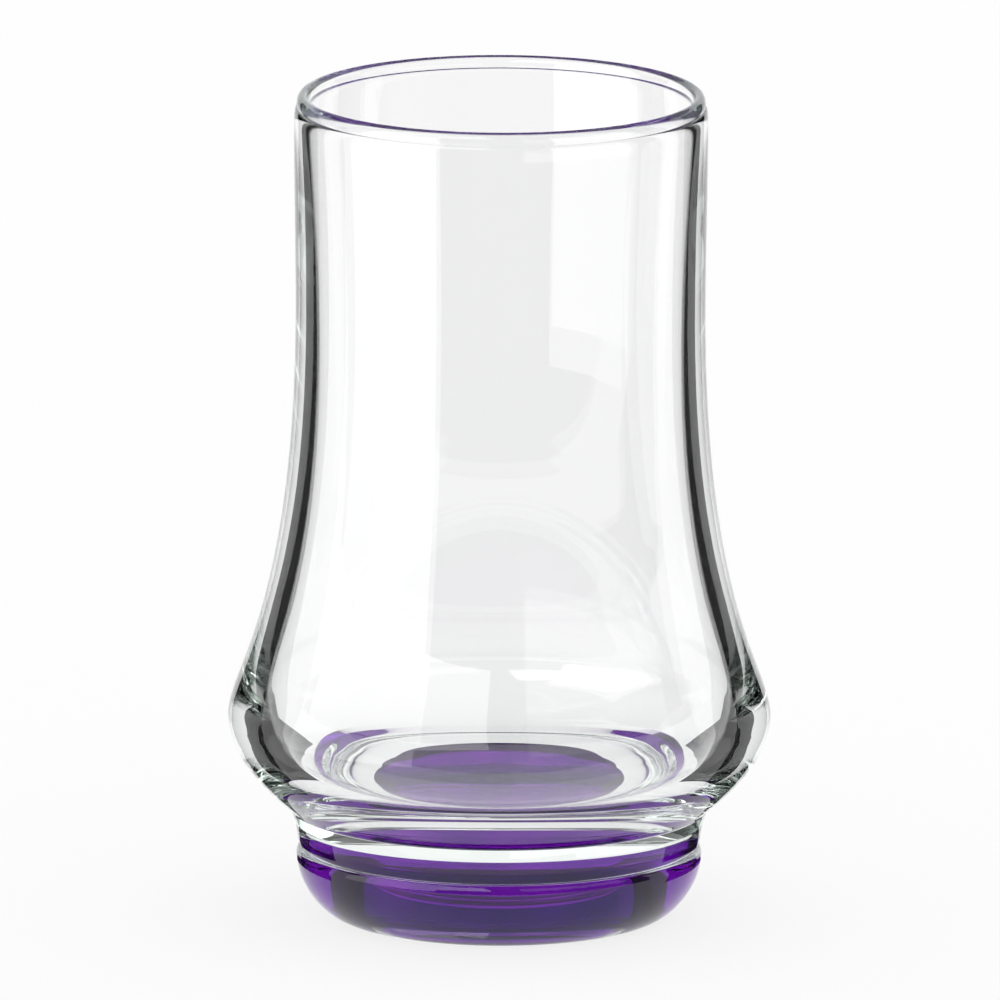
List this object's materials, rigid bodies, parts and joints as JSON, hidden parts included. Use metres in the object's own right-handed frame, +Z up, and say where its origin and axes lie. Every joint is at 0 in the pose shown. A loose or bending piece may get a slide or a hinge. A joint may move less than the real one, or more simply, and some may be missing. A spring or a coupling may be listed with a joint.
{
  "type": "whisky tasting glass",
  "caption": "Clear tasting glass with a straight chimney, a flared bulb and a thick stepped foot, lined underneath with a violet lacquer film; stands on its foot and holds a measure of drink.",
  "frame": {"origin": "middle of the standing ring under the foot, on the table", "axes": "+Z up along the glass's axis, +X to the viewer's right in the picture, +Y away from the viewer"},
  "size_m": [0.0636, 0.0636, 0.098],
  "materials": {
    "clear_glass": "fire-polished clear soda-lime glass with faint mould ripple on the foot",
    "violet_lacquer": "transparent gloss lacquer film"
  },
  "bodies": {
    "root": {"glass_body": "clear_glass", "base_colour_coat": "violet_lacquer"}
  },
  "joints": []
}
